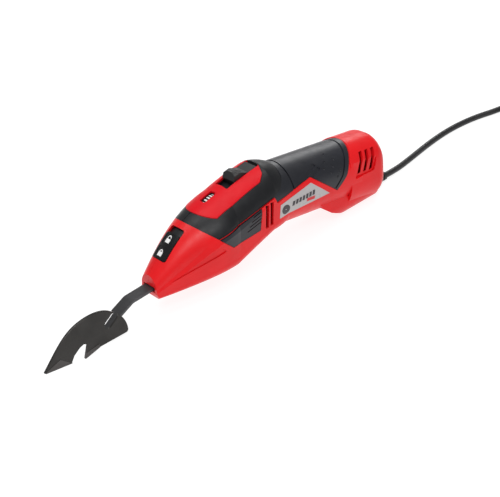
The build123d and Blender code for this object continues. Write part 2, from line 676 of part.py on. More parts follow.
def across_slide(s):
    """The plane across the plunger at s, measured back from the nose: its x is y and its y points away."""
    return Plane(origin=SLIDE.from_local_coords((s, 0)), x_dir=(0, 1, 0), z_dir=SLIDE.x_dir)


with BuildPart() as tool_clamp:
    with BuildSketch(across_slide(CLAMP_START)):
        Rectangle(16.8, 9.0)
        Rectangle(SHANK_WIDTH + 0.2, SHANK_THICK + 0.1, mode=Mode.SUBTRACT)
    extrude(amount=CLAMP_END - CLAMP_START)
    with BuildSketch(clamp_plane(-5)):
        Circle(1.55)
    extrude(amount=10, mode=Mode.SUBTRACT)
tool_clamp.part.label = "tool_clamp"
export_step(tool_clamp.part, "parts/tool_clamp.step")

with BuildPart() as clamp_pin:
    with BuildSketch(clamp_plane(-4.5)):
        Circle(1.5)
    extrude(amount=9.6)
    chamfer(clamp_pin.edges(), 0.3)
clamp_pin.part.label = "clamp_pin"
export_step(clamp_pin.part, "parts/clamp_pin.step")

with BuildPart() as plunger_rod:
    with BuildSketch(across_slide(CLAMP_END)):
        Circle(ROD_R)
    extrude(amount=ROD_END - CLAMP_END)
    with BuildSketch(SLIDE.offset(-10)):
        with Locations((ROD_END - 3.0, 0)):
            Rectangle(8.0, 20.0)
    extrude(amount=10 + 1.0, mode=Mode.SUBTRACT)
plunger_rod.part.label = "plunger_rod"
export_step(plunger_rod.part, "parts/plunger_rod.step")

with BuildPart() as yoke:
    with BuildSketch(SLIDE.offset(1.0)):
        with Locations((ROD_END - 2.0, 0)):
            Rectangle(9.0, 2 * ROD_R + 1)
    extrude(amount=YOKE_FAR - 1.0)
    with BuildSketch(SLIDE.offset(YOKE_NEAR)) as yoke_outline:
        with BuildLine():
            Polyline(
                (ROD_END - 6.5, -ROD_R), (ROD_END + 2.5, -ROD_R), (ROD_END + 4, 10.5),
                (SPINDLE_S + 13.0, 14.0),
                (SPINDLE_S + 13.0, 36.4), (SPINDLE_S - 13.0, 36.4), (SPINDLE_S - 13.0, 13.0), close=True,
            )
        make_face()
        fillet(yoke_outline.vertices(), 1.5)
        with Locations((SPINDLE_S, SPINDLE_H)):
            Rectangle(YOKE_WINDOW_LENGTH, YOKE_WINDOW_HEIGHT, mode=Mode.SUBTRACT)
    extrude(amount=YOKE_FAR - YOKE_NEAR)
    add(plunger_rod.part, mode=Mode.SUBTRACT)
yoke.part.label = "yoke"
export_step(yoke.part, "parts/yoke.step")

for end, start, length, radius, half_width in BUSHES:
    with BuildPart() as bush:
        with BuildSketch(across_slide(start)):
            Circle(radius)
            Circle(ROD_R + 0.1, mode=Mode.SUBTRACT)
        extrude(amount=length)
    bush.part.label = f"{end}_bush"
    export_step(bush.part, f"parts/{end}_bush.step")

    with BuildPart() as guide:
        with BuildSketch(across_slide(start + 0.8)):
            Rectangle(2 * half_width, 2 * radius + 3.6)
        extrude(amount=length - 1.6)
        add(head_shape(WALL + 0.3), mode=Mode.INTERSECT)
        add(bush.part, mode=Mode.SUBTRACT)
        with BuildSketch(across_slide(start)):
            Circle(ROD_R + 1)
        extrude(amount=length, mode=Mode.SUBTRACT)
    guide.part.label = f"{end}_guide"
    export_step(guide.part, f"parts/{end}_guide.step")

# ---------------------------------------------------------------- spindle, cam and crown gear
SPINDLE_R = 4.0
SPINDLE_REACH = 20.8
TOOTH_TIP, TOOTH_ROOT, GEAR_BACK = 3.5, 5.3, 8.5        # distances across the tool from its middle
GEAR_R, TOOTH_INNER, TOOTH_OUTER, TOOTH_SPACE = 17.8, 14.0, 17.0, 1.9
CHEEK_NEAR, CHEEK_FAR = 17.0, 20.0

with BuildPart() as spindle:
    add(cross_pin(SPINDLE_X, MOTOR_Z, SPINDLE_R, -SPINDLE_REACH, SPINDLE_REACH))
    chamfer(spindle.edges().filter_by(GeomType.CIRCLE), 0.5)
spindle.part.label = "spindle"
export_step(spindle.part, "parts/spindle.step")

with BuildPart() as cam:
    add(cross_pin(SPINDLE_X + STROKE, MOTOR_Z, CAM_R, -10.0, -4.8))
    add(cross_pin(SPINDLE_X, MOTOR_Z, SPINDLE_R, -REACH, REACH), mode=Mode.SUBTRACT)
cam.part.label = "cam"
export_step(cam.part, "parts/cam.step")

with BuildPart() as crown_gear:
    add(cross_pin(SPINDLE_X, MOTOR_Z, GEAR_R, TOOTH_ROOT, GEAR_BACK))
    add(cross_pin(SPINDLE_X, MOTOR_Z, SPINDLE_R + 3, GEAR_BACK, GEAR_BACK + 4))
    add(cross_pin(SPINDLE_X, MOTOR_Z, TOOTH_OUTER, TOOTH_TIP, TOOTH_ROOT))
    add(cross_pin(SPINDLE_X, MOTOR_Z, TOOTH_INNER, TOOTH_TIP, TOOTH_ROOT), mode=Mode.SUBTRACT)
    with BuildSketch(side_plane(SPINDLE_X, MOTOR_Z, 0, TOOTH_TIP)):
        with PolarLocations(TOOTH_OUTER, GEAR_TEETH):
            Rectangle(2 * (TOOTH_OUTER - TOOTH_INNER) + 2, TOOTH_SPACE)
    extrude(amount=TOOTH_TIP - TOOTH_ROOT, mode=Mode.SUBTRACT)
    add(cross_pin(SPINDLE_X, MOTOR_Z, SPINDLE_R, -REACH, REACH), mode=Mode.SUBTRACT)
crown_gear.part.label = "crown_gear"
export_step(crown_gear.part, "parts/crown_gear.step")

with BuildPart() as gear_frame:
    for near in (-CHEEK_FAR, CHEEK_NEAR):
        with BuildSketch(SIDE.offset(near)):
            with BuildLine():
                Polyline(
                    (-41.0, 27.0), (-3.0, 29.0), (0.0, 36.0), (0.0, 56.0), (-24.0, 56.0), (-41.0, 44.0),
                    close=True,
                )
            make_face()
            with Locations((SPINDLE_X, MOTOR_Z)):
                Circle(8.0, mode=Mode.SUBTRACT)
        extrude(amount=CHEEK_FAR - CHEEK_NEAR)
    with BuildSketch(SIDE.offset(-CHEEK_NEAR)):
        with Locations((-38.5, 30.0)):
            Rectangle(5.0, 6.0)
    extrude(amount=2 * CHEEK_NEAR)
gear_frame.part.label = "gear_frame"
export_step(gear_frame.part, "parts/gear_frame.step")

with BuildPart() as spindle_bearings:
    for start in (-CHEEK_FAR, CHEEK_NEAR):
        add(cross_pin(SPINDLE_X, MOTOR_Z, 8.0, start, start + CHEEK_FAR - CHEEK_NEAR))
    add(cross_pin(SPINDLE_X, MOTOR_Z, SPINDLE_R + 0.1, -REACH, REACH), mode=Mode.SUBTRACT)
spindle_bearings.part.label = "spindle_bearings"
export_step(spindle_bearings.part, "parts/spindle_bearings.step")

# ---------------------------------------------------------------- motor
SHAFT_R = 2.5
PINION_R, PINION_ROOT_R = 4.6, 2.9
COMMUTATOR_R = 9.5
BARS = 16

with BuildPart() as motor_shaft:
    add(long_bar(-0.6, 103.0, MOTOR_Z, SHAFT_R))
motor_shaft.part.label = "motor_shaft"
export_step(motor_shaft.part, "parts/motor_shaft.step")

with BuildPart() as pinion:
    with BuildSketch(section(0.0)):
        with Locations((0, MOTOR_Z)):
            Circle(PINION_ROOT_R)
            with PolarLocations(0, PINION_TEETH):
                Polygon(
                    (0, -0.65), (3.0, -0.55), (PINION_R, -0.4), (PINION_R, 0.4), (3.0, 0.55), (0, 0.65),
                    align=None,
                )
            Circle(SHAFT_R, mode=Mode.SUBTRACT)
    extrude(amount=4.0)
pinion.part.label = "pinion"
export_step(pinion.part, "parts/pinion.step")

with BuildPart() as bearing_plate:
    add(long_bar(17.6, 21.6, MOTOR_Z, 24.4, 8.0))
bearing_plate.part.label = "bearing_plate"
export_step(bearing_plate.part, "parts/bearing_plate.step")

with BuildPart() as front_bearing:
    add(long_bar(17.0, 22.0, MOTOR_Z, 8.0, SHAFT_R + 0.05))
front_bearing.part.label = "front_bearing"
export_step(front_bearing.part, "parts/front_bearing.step")

with BuildPart() as fan:
    add(long_bar(23.4, 24.6, MOTOR_Z, 19.5))
    add(long_bar(24.6, 30.0, MOTOR_Z, 5.5))
    with BuildSketch(section(24.6)):
        with Locations((0, MOTOR_Z)):
            with PolarLocations(12.0, 14, rotate=True):
                Rectangle(14.6, 1.1)
    extrude(amount=5.0)
    add(long_bar(20, 34, MOTOR_Z, SHAFT_R), mode=Mode.SUBTRACT)
fan.part.label = "fan"
export_step(fan.part, "parts/fan.step")

with BuildPart() as stator:
    add(long_bar(37.0, 72.0, MOTOR_Z, 22.0, 13.6))
stator.part.label = "stator"
export_step(stator.part, "parts/stator.step")

with BuildPart() as field_windings:
    for start in (32.0, 72.0):
        add(long_bar(start, start + 5.0, MOTOR_Z, 19.0, 14.0))
    fillet(field_windings.edges().filter_by(GeomType.CIRCLE), 1.2)
field_windings.part.label = "field_windings"
export_step(field_windings.part, "parts/field_windings.step")

with BuildPart() as armature_core:
    with BuildSketch(section(38.0)):
        with Locations((0, MOTOR_Z)):
            Circle(13.0)
            with PolarLocations(13.0, 12):
                Rectangle(9.0, 1.8, mode=Mode.SUBTRACT)
            Circle(SHAFT_R, mode=Mode.SUBTRACT)
    extrude(amount=33.0)
armature_core.part.label = "armature_core"
export_step(armature_core.part, "parts/armature_core.step")

with BuildPart() as armature_windings:
    for start in (32.5, 71.0):
        add(long_bar(start, start + 5.5, MOTOR_Z, 11.5, SHAFT_R))
    fillet(armature_windings.edges().filter_by(GeomType.CIRCLE).group_by(SortBy.LENGTH)[-1], 1.8)
armature_windings.part.label = "armature_windings"
export_step(armature_windings.part, "parts/armature_windings.step")

with BuildPart() as commutator:
    with BuildSketch(section(84.0)):
        with Locations((0, MOTOR_Z)):
            Circle(COMMUTATOR_R)
            with PolarLocations(COMMUTATOR_R, BARS):
                Rectangle(1.6, 0.6, mode=Mode.SUBTRACT)
            Circle(SHAFT_R, mode=Mode.SUBTRACT)
    extrude(amount=11.0)
commutator.part.label = "commutator"
export_step(commutator.part, "parts/commutator.step")

with BuildPart() as brushes:
    for way in (-1, 1):
        brush_foot = place(89.5, way * (COMMUTATOR_R + 0.1), MOTOR_Z)
        with BuildSketch(Plane(origin=brush_foot, x_dir=BACK, z_dir=(0, way, 0))):
            Rectangle(6.0, 5.0)
        extrude(amount=11.0)
brushes.part.label = "brushes"
export_step(brushes.part, "parts/brushes.step")

with BuildPart() as brush_holders:
    for way in (-1, 1):
        holder_foot = place(89.5, way * (COMMUTATOR_R + 1.5), MOTOR_Z)
        with BuildSketch(Plane(origin=holder_foot, x_dir=BACK, z_dir=(0, way, 0))):
            Rectangle(8.4, 7.4)
            Rectangle(6.0, 5.0, mode=Mode.SUBTRACT)
        extrude(amount=11.0)
brush_holders.part.label = "brush_holders"
export_step(brush_holders.part, "parts/brush_holders.step")

with BuildPart() as brush_plate:
    add(long_bar(97.0, 101.0, MOTOR_Z, 24.0, 8.0))
brush_plate.part.label = "brush_plate"
export_step(brush_plate.part, "parts/brush_plate.step")

with BuildPart() as rear_bearing:
    add(long_bar(96.6, 101.6, MOTOR_Z, 8.0, SHAFT_R + 0.05))
rear_bearing.part.label = "rear_bearing"
export_step(rear_bearing.part, "parts/rear_bearing.step")

# ---------------------------------------------------------------- electrics
with BuildPart() as control_board:
    with BuildSketch(SIDE.offset(-14.0)):
        with Locations((-54.5, 33.4)):
            Rectangle(15.0, 1.6)
    extrude(amount=28.0)
control_board.part.label = "control_board"
export_step(control_board.part, "parts/control_board.step")

with BuildPart() as board_parts:
    with BuildSketch(SIDE.offset(-11.0)):
        with Locations((-58.5, 36.2)):
            Rectangle(5.0, 4.0)
    extrude(amount=9.0)
    with BuildSketch(SIDE.offset(2.0)):
        with Locations((-51.6, 37.0)):
            Circle(2.8)
    extrude(amount=10.0)
    add(control_board.part, mode=Mode.SUBTRACT)
board_parts.part.label = "board_parts"
export_step(board_parts.part, "parts/board_parts.step")

with BuildPart() as capacitor:
    with BuildSketch(section(106.0)):
        with Locations((0, 60.0)):
            RectangleRounded(15.0, 8.0, 1.5)
    extrude(amount=18.0)
capacitor.part.label = "capacitor"
export_step(capacitor.part, "parts/capacitor.step")

# ---------------------------------------------------------------- mains cord, on the floor behind the tool
BOOT_LENGTH, BOOT_ROOT_R, BOOT_END_R = 20.5, 5.5, 3.8
BOOT_ANGLE, BOOT_GAP = 3.0, 0.4
BOOT = side_plane(CAP_END, CORD_EXIT_Z - 0.1, BOOT_ANGLE)
BOOT_ACROSS = Plane(origin=BOOT.origin, x_dir=(0, 1, 0), z_dir=BOOT.x_dir)
CORD_R = CORD_D / 2
FLOOR_CORD_Z = CORD_R + 0.05

with BuildPart() as strain_relief:
    with BuildSketch(BOOT_ACROSS.offset(BOOT_GAP)):
        Circle(BOOT_ROOT_R)
    with BuildSketch(BOOT_ACROSS.offset(BOOT_LENGTH)):
        Circle(BOOT_END_R)
    loft()
    with BuildSketch(BOOT_ACROSS.offset(-8.0)):
        Circle(4.2)
    extrude(amount=8.0 + BOOT_GAP)
    for step in range(4):
        with BuildSketch(BOOT_ACROSS.offset(4.0 + 4.0 * step)):
            Circle(BOOT_ROOT_R + 1)
            Circle(BOOT_ROOT_R - 1.1 - 0.34 * step, mode=Mode.SUBTRACT)
        extrude(amount=1.5, mode=Mode.SUBTRACT)
strain_relief.part.label = "strain_relief"
export_step(strain_relief.part, "parts/strain_relief.step")

with BuildPart() as cord_clamp:
    with BuildSketch(BOOT_ACROSS.offset(-12.5)):
        with Locations((0, 0.6)):
            Rectangle(18.0, 6.4)
    extrude(amount=4.0)
cord_clamp.part.label = "cord_clamp"
export_step(cord_clamp.part, "parts/cord_clamp.step")

EXIT = BOOT.from_local_coords((BOOT_LENGTH, 0))
COIL_X, COIL_Y = 367.0, -35.0
TURN_INNER_R, TURN_OUTER_R, LAYERS = 26.2, 31.8, 4
TIE = 0.8
COIL_LOW = TIE + 0.05
TOP_TURN_Z = COIL_LOW + (LAYERS - 0.5) * CORD_D
LEAD = [
    (EXIT.X, 0, EXIT.Z), (203.0, 0.8, FLOOR_CORD_Z), (229.0, 5.5, FLOOR_CORD_Z), (259.0, 11.5, FLOOR_CORD_Z),
    (290.0, 14.5, FLOOR_CORD_Z), (320.0, 11.0, FLOOR_CORD_Z), (345.0, 1.5, FLOOR_CORD_Z),
    (372.5, -3.7, COIL_LOW + CORD_R),
]
TAIL = [
    (349.6, -62.0, TOP_TURN_Z), (341.4, -54.8, 21.0), (337.1, -44.1, 22.6), (337.9, -32.5, 25.2),
    (343.7, -22.5, 28.0), (353.3, -16.1, 30.2), (364.8, -14.5, 30.3),
]


def smooth_tube(points):
    """The cord along its route: straight runs joined by the largest arcs they allow."""
    points = [Vector(*point) for point in points]
    radii = []
    for before, corner, after in zip(points, points[1:], points[2:]):
        run = min((corner - before).length, (after - corner).length)
        turn = (corner - before).get_angle(after - corner)
        radii.append(0.45 * run / tan(radians(turn / 2)))
    print("cord radii", [round(radius) for radius in radii])
    with BuildPart() as tube:
        with BuildLine() as route:
            FilletPolyline(*points, radius=radii)
        with BuildSketch(Plane(origin=points[0], z_dir=points[1] - points[0])):
            Circle(CORD_R)
        sweep()
    print("volume against section times length", tube.part.volume / (pi * CORD_R**2 * route.wire().length))
    return tube.part


cord_lead = smooth_tube(LEAD)
cord_lead.label = "cord_lead"
export_step(cord_lead, "parts/cord_lead.step")

cord_tail = smooth_tube(TAIL)
cord_tail.label = "cord_tail"
export_step(cord_tail, "parts/cord_tail.step")

with BuildPart() as cord_coil:
    with BuildSketch(Plane.XY.offset(COIL_LOW)):
        with Locations((COIL_X, COIL_Y)):
            Circle(TURN_OUTER_R + CORD_R)
            Circle(TURN_INNER_R - CORD_R, mode=Mode.SUBTRACT)
    extrude(amount=LAYERS * CORD_D)
cord_coil.part.label = "cord_coil"
export_step(cord_coil.part, "parts/cord_coil.step")

with BuildPart() as cord_tie:
    turns_middle = (COIL_X + (TURN_INNER_R + TURN_OUTER_R) / 2, COIL_Y, COIL_LOW + LAYERS * CORD_D / 2)
    with BuildSketch(Plane(origin=turns_middle, x_dir=(1, 0, 0), z_dir=(0, 1, 0))):
        Rectangle(2 * CORD_D + 2 * TIE + 0.4, LAYERS * CORD_D + 2 * TIE)
        Rectangle(2 * CORD_D + 0.4, LAYERS * CORD_D, mode=Mode.SUBTRACT)
    extrude(amount=2.4, both=True)
cord_tie.part.label = "cord_tie"
export_step(cord_tie.part, "parts/cord_tie.step")

PLUG_FACE_WIDTH, PLUG_THICK, PLUG_LENGTH = 35.3, 13.7, 36.0
PIN_R, PIN_LENGTH, PIN_SPACING = 2.0, 19.0, 19.0
PLUG_WAY = Vector(11.5, 1.6, 0).normalized()
PLUG = Plane(origin=TAIL[-1], x_dir=PLUG_WAY.cross(Vector(0, 0, 1)), z_dir=PLUG_WAY)
with BuildPart() as plug_body:
    with BuildSketch(PLUG):
        Circle(4.6)
    with BuildSketch(PLUG.offset(12.0)):
        RectangleRounded(16.0, 11.0, 5.0)
    with BuildSketch(PLUG.offset(24.0)):
        RectangleRounded(31.0, 13.4, 6.0)
    with BuildSketch(PLUG.offset(PLUG_LENGTH)):
        RectangleRounded(PLUG_FACE_WIDTH, PLUG_THICK, 6.4)
    loft()
plug_body.part.label = "plug_body"
export_step(plug_body.part, "parts/plug_body.step")

with BuildPart() as plug_pins:
    for way in (-1, 1):
        with BuildSketch(PLUG.offset(PLUG_LENGTH)):
            with Locations((way * PIN_SPACING / 2, 0)):
                Circle(PIN_R)
        extrude(amount=PIN_LENGTH)
    fillet(plug_pins.faces().sort_by(Axis(PLUG.origin, PLUG_WAY))[-2:].edges(), 1.2)
plug_pins.part.label = "plug_pins"
export_step(plug_pins.part, "parts/plug_pins.step")
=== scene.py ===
# Corded reciprocating scraper lying on a pale floor: looks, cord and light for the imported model.
import json
from math import atan2, cos, pi, radians, sin

import bmesh
import bpy
from mathutils import Matrix, Vector
from mathutils.bvhtree import BVHTree


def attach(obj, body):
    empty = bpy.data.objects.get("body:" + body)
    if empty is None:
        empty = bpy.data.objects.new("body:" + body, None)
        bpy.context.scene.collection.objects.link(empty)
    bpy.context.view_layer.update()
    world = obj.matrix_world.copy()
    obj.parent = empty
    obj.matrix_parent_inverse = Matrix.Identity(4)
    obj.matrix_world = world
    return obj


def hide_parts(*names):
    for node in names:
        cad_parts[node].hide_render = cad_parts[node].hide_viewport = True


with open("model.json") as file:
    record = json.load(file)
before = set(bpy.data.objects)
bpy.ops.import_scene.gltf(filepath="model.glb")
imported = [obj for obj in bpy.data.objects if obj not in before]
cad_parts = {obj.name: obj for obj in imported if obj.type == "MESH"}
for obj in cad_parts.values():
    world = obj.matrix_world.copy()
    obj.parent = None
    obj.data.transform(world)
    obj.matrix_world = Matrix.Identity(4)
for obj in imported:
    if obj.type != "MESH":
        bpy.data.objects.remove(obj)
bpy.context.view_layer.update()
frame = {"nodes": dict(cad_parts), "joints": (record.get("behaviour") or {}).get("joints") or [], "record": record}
MM = 0.001

# ------------------------------------------------- the tool's own coordinates, as in the CAD
BARB_X, BARB_Z = -174.0, -36.0
POMMEL_X, POMMEL_Z = 115.0, 9.2
PITCH = atan2(POMMEL_Z - BARB_Z, POMMEL_X - BARB_X)
MIDDLE_X = 26.0
REST_Z = BARB_X * sin(PITCH) - BARB_Z * cos(PITCH)
HANDLE_R = 27.6


def turned(x, y, z):
    """A direction of the tool in the frame."""
    return Vector((x * cos(PITCH) + z * sin(PITCH), y, -x * sin(PITCH) + z * cos(PITCH)))


def placed(x, y, z):
    """A point of the tool, in its millimetres, as a point of the frame, in metres."""
    return (turned(x, y, z) + Vector((MIDDLE_X, 0, REST_Z))) * MM


# ---------------------------------------------------------------- camera
AZIMUTH, ELEVATION, ROLL = radians(36.0), radians(25.5), radians(4.0)
DISTANCE = 1039.0
LENS, SENSOR = 86.4, 36.0


def add_camera():
    right = Vector((cos(AZIMUTH), -sin(AZIMUTH), 0))
    up = Vector((sin(AZIMUTH) * sin(ELEVATION), cos(AZIMUTH) * sin(ELEVATION), cos(ELEVATION)))
    right, up = right * cos(ROLL) - up * sin(ROLL), up * cos(ROLL) + right * sin(ROLL)
    back = right.cross(up)
    data = bpy.data.cameras.new("camera")
    data.lens, data.sensor_width = LENS, SENSOR
    data.clip_start, data.clip_end = 0.01, 20.0
    camera = bpy.data.objects.new("camera", data)
    bpy.context.scene.collection.objects.link(camera)
    axes = Matrix([turned(*axis) for axis in (right, up, back)]).transposed()
    camera.matrix_world = Matrix.Translation(placed(*(back * DISTANCE))) @ axes.to_4x4()
    bpy.context.scene.camera = camera


add_camera()

# ---------------------------------------------------------------- cord
CORD_D = 5.6
CORD_R = CORD_D / 2
FLOOR_CORD_Z = CORD_R + 0.05
TIE = 0.8
COIL_X, COIL_Y, COIL_LOW = 367.0, -35.0, TIE + 0.05
TURN_INNER_R, TURN_OUTER_R = 26.2, 31.8
TOUCH = radians(80.0)               # where the cord meets the coil, round from +X
STEPS, LAST_STEP = 16, 121
CHANGE_START = 0.75                 # part of a turn after which the cord moves to the next place
BOOT_X, BOOT_Z, BOOT_LENGTH, BOOT_ANGLE = 139.5, 19.3, 20.5, radians(3.0)
EXIT = placed(BOOT_X + BOOT_LENGTH * cos(BOOT_ANGLE), 0, BOOT_Z + BOOT_LENGTH * sin(BOOT_ANGLE)) / MM
LEAD = [
    tuple(EXIT), (203.0, 0.8, FLOOR_CORD_Z), (229.0, 5.5, FLOOR_CORD_Z), (259.0, 11.5, FLOOR_CORD_Z),
    (290.0, 14.5, FLOOR_CORD_Z), (320.0, 11.0, FLOOR_CORD_Z), (345.0, 1.5, FLOOR_CORD_Z),
]
TAIL = [
    (341.4, -54.8, 21.0), (337.1, -44.1, 22.6), (337.9, -32.5, 25.2),
    (343.7, -22.5, 28.0), (353.3, -16.1, 30.2), (364.8, -14.5, 30.3),
]


def coil_points():
    """Turns of the coil, clockwise: out and in between its two rings, one layer above another."""
    rings = [TURN_OUTER_R, TURN_INNER_R, TURN_INNER_R, TURN_OUTER_R]
    points = []
    for step in range(LAST_STEP + 1):
        turn = step / STEPS
        whole = int(turn)
        blend = max(0.0, (turn - whole - CHANGE_START) / (1 - CHANGE_START))
        ring, ring_after = (rings[number % len(rings)] for number in (whole, whole + 1))
        layer, layer_after = whole // 2, (whole + 1) // 2
        radius = ring + (ring_after - ring) * blend
        height = COIL_LOW + CORD_R + (layer + (layer_after - layer) * blend) * CORD_D
        angle = TOUCH - 2 * pi * turn
        points.append((COIL_X + radius * cos(angle), COIL_Y + radius * sin(angle), height))
    return points


def add_cord():
    points = LEAD + coil_points() + TAIL
    data = bpy.data.curves.new("cord", "CURVE")
    data.dimensions = "3D"
    data.bevel_depth = 1.0          # times each point's own radius
    data.bevel_resolution = 5
    data.resolution_u = 6
    spline = data.splines.new("NURBS")
    spline.points.add(len(points) - 1)
    for point, where in zip(spline.points, points):
        point.co = (*(Vector(where) * MM), 1.0)
        point.radius = CORD_R * MM
    spline.order_u = 3
    spline.use_endpoint_u = True
    cord = bpy.data.objects.new("cord", data)
    bpy.context.scene.collection.objects.link(cord)
    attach(cord, "housing")
    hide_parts("cord_lead", "cord_coil", "cord_tail")
    return cord


cord = add_cord()

# ---------------------------------------------------------------- materials


def new_material(name, colour, roughness, metallic=0.0):
    material = bpy.data.materials.new(name)
    material.use_nodes = True
    tree = material.node_tree
    shader = tree.nodes["Principled BSDF"]
    shader.inputs["Base Color"].default_value = (*colour, 1.0)
    shader.inputs["Roughness"].default_value = roughness
    shader.inputs["Metallic"].default_value = metallic
    return material, tree, shader


def noise(tree, scale, detail=3.0, stretch=(1, 1, 1)):
    """Noise over the piece's own coordinates, in which one unit is a metre."""
    coords = tree.nodes.new("ShaderNodeTexCoord")
    mapping = tree.nodes.new("ShaderNodeMapping")
    mapping.inputs["Scale"].default_value = stretch
    texture = tree.nodes.new("ShaderNodeTexNoise")
    texture.inputs["Scale"].default_value = scale
    texture.inputs["Detail"].default_value = detail
    tree.links.new(coords.outputs["Object"], mapping.inputs["Vector"])
    tree.links.new(mapping.outputs["Vector"], texture.inputs["Vector"])
    return texture.outputs["Fac"]


def ramp(tree, source, low, high, start=0.35, end=0.65):
    """Spread source over the colours or grey values from low to high."""
    node = tree.nodes.new("ShaderNodeValToRGB")
    for element, value, position in zip(node.color_ramp.elements, (low, high), (start, end)):
        element.position = position
        element.color = (*value, 1.0) if isinstance(value, tuple) else (value, value, value, 1.0)
    tree.links.new(source, node.inputs["Fac"])
    return node.outputs["Color"]


def bump(tree, shader, source, strength, distance):
    node = tree.nodes.new("ShaderNodeBump")
    node.inputs["Strength"].default_value = strength
    node.inputs["Distance"].default_value = distance
    tree.links.new(source, node.inputs["Height"])
    tree.links.new(node.outputs["Normal"], shader.inputs["Normal"])


def moulded(name, colour, roughness, grain=2500.0, depth=0.00003, spread=0.08, shine=0.5):
    """Moulded plastic or rubber: spark-eroded grain, slow colour drift and uneven gloss."""
    material, tree, shader = new_material(name, colour, roughness)
    drift = noise(tree, 35.0)
    darker, lighter = (tuple(c * (1 + way * spread) for c in colour) for way in (-1, 1))
    tree.links.new(ramp(tree, drift, darker, lighter), shader.inputs["Base Color"])
    gloss = ramp(tree, noise(tree, 160.0), roughness * 0.88, roughness * 1.12)
    tree.links.new(gloss, shader.inputs["Roughness"])
    bump(tree, shader, noise(tree, grain, 2.0), 0.35, depth)
    shader.inputs["Specular IOR Level"].default_value = shine
    return material


def metal(name, colour, roughness, stretch=(1, 1, 1), scale=900.0, wear=0.15, metallic=1.0):
    """Ground, drawn or blackened metal: fine marks along the finish and patches of duller surface."""
    material, tree, shader = new_material(name, colour, roughness, metallic)
    patches = noise(tree, 60.0)
    darker, lighter = (tuple(c * (1 + way * wear) for c in colour) for way in (-1, 1))
    tree.links.new(ramp(tree, patches, darker, lighter), shader.inputs["Base Color"])
    marks = noise(tree, scale, 4.0, stretch)
    tree.links.new(ramp(tree, marks, roughness * 0.75, roughness * 1.3), shader.inputs["Roughness"])
    bump(tree, shader, marks, 0.25, 0.00003)
    return material


def dial_material():
    """Black wheel whose rib tops are painted pale, told apart by their distance from the axle."""
    material, tree, shader = new_material("dial", (0.02, 0.02, 0.02), 0.4)
    axle = frame["joints"][[joint["name"] for joint in frame["joints"]].index("dial_turn")]["pos_m"]
    coords = tree.nodes.new("ShaderNodeTexCoord")
    apart = tree.nodes.new("ShaderNodeVectorMath")
    apart.operation = "SUBTRACT"
    apart.inputs[1].default_value = axle
    flat = tree.nodes.new("ShaderNodeVectorMath")
    flat.operation = "MULTIPLY"
    flat.inputs[1].default_value = (1, 0, 1)
    length = tree.nodes.new("ShaderNodeVectorMath")
    length.operation = "LENGTH"
    outside = tree.nodes.new("ShaderNodeMath")
    outside.operation = "GREATER_THAN"
    outside.inputs[1].default_value = 10.7 * MM
    tree.links.new(coords.outputs["Object"], apart.inputs[0])
    tree.links.new(apart.outputs["Vector"], flat.inputs[0])
    tree.links.new(flat.outputs["Vector"], length.inputs[0])
    tree.links.new(length.outputs["Value"], outside.inputs[0])
    paint = ramp(tree, outside.outputs["Value"], (0.015, 0.015, 0.016), (0.8, 0.8, 0.78), 0.4, 0.6)
    tree.links.new(paint, shader.inputs["Base Color"])
    bump(tree, shader, noise(tree, 2500.0), 0.3, 0.00002)
    return material


def winding_material():
    """Copper wire under brown enamel, wound in fine turns."""
    material, tree, shader = new_material("copper", (0.55, 0.20, 0.07), 0.35, 0.9)
    wave = tree.nodes.new("ShaderNodeTexWave")
    wave.inputs["Scale"].default_value = 600.0
    wave.inputs["Distortion"].default_value = 1.5
    coords = tree.nodes.new("ShaderNodeTexCoord")
    tree.links.new(coords.outputs["Object"], wave.inputs["Vector"])
    turns = ramp(tree, wave.outputs["Fac"], (0.30, 0.09, 0.03), (0.65, 0.26, 0.10))
    tree.links.new(turns, shader.inputs["Base Color"])
    bump(tree, shader, wave.outputs["Fac"], 0.5, 0.0002)
    return material


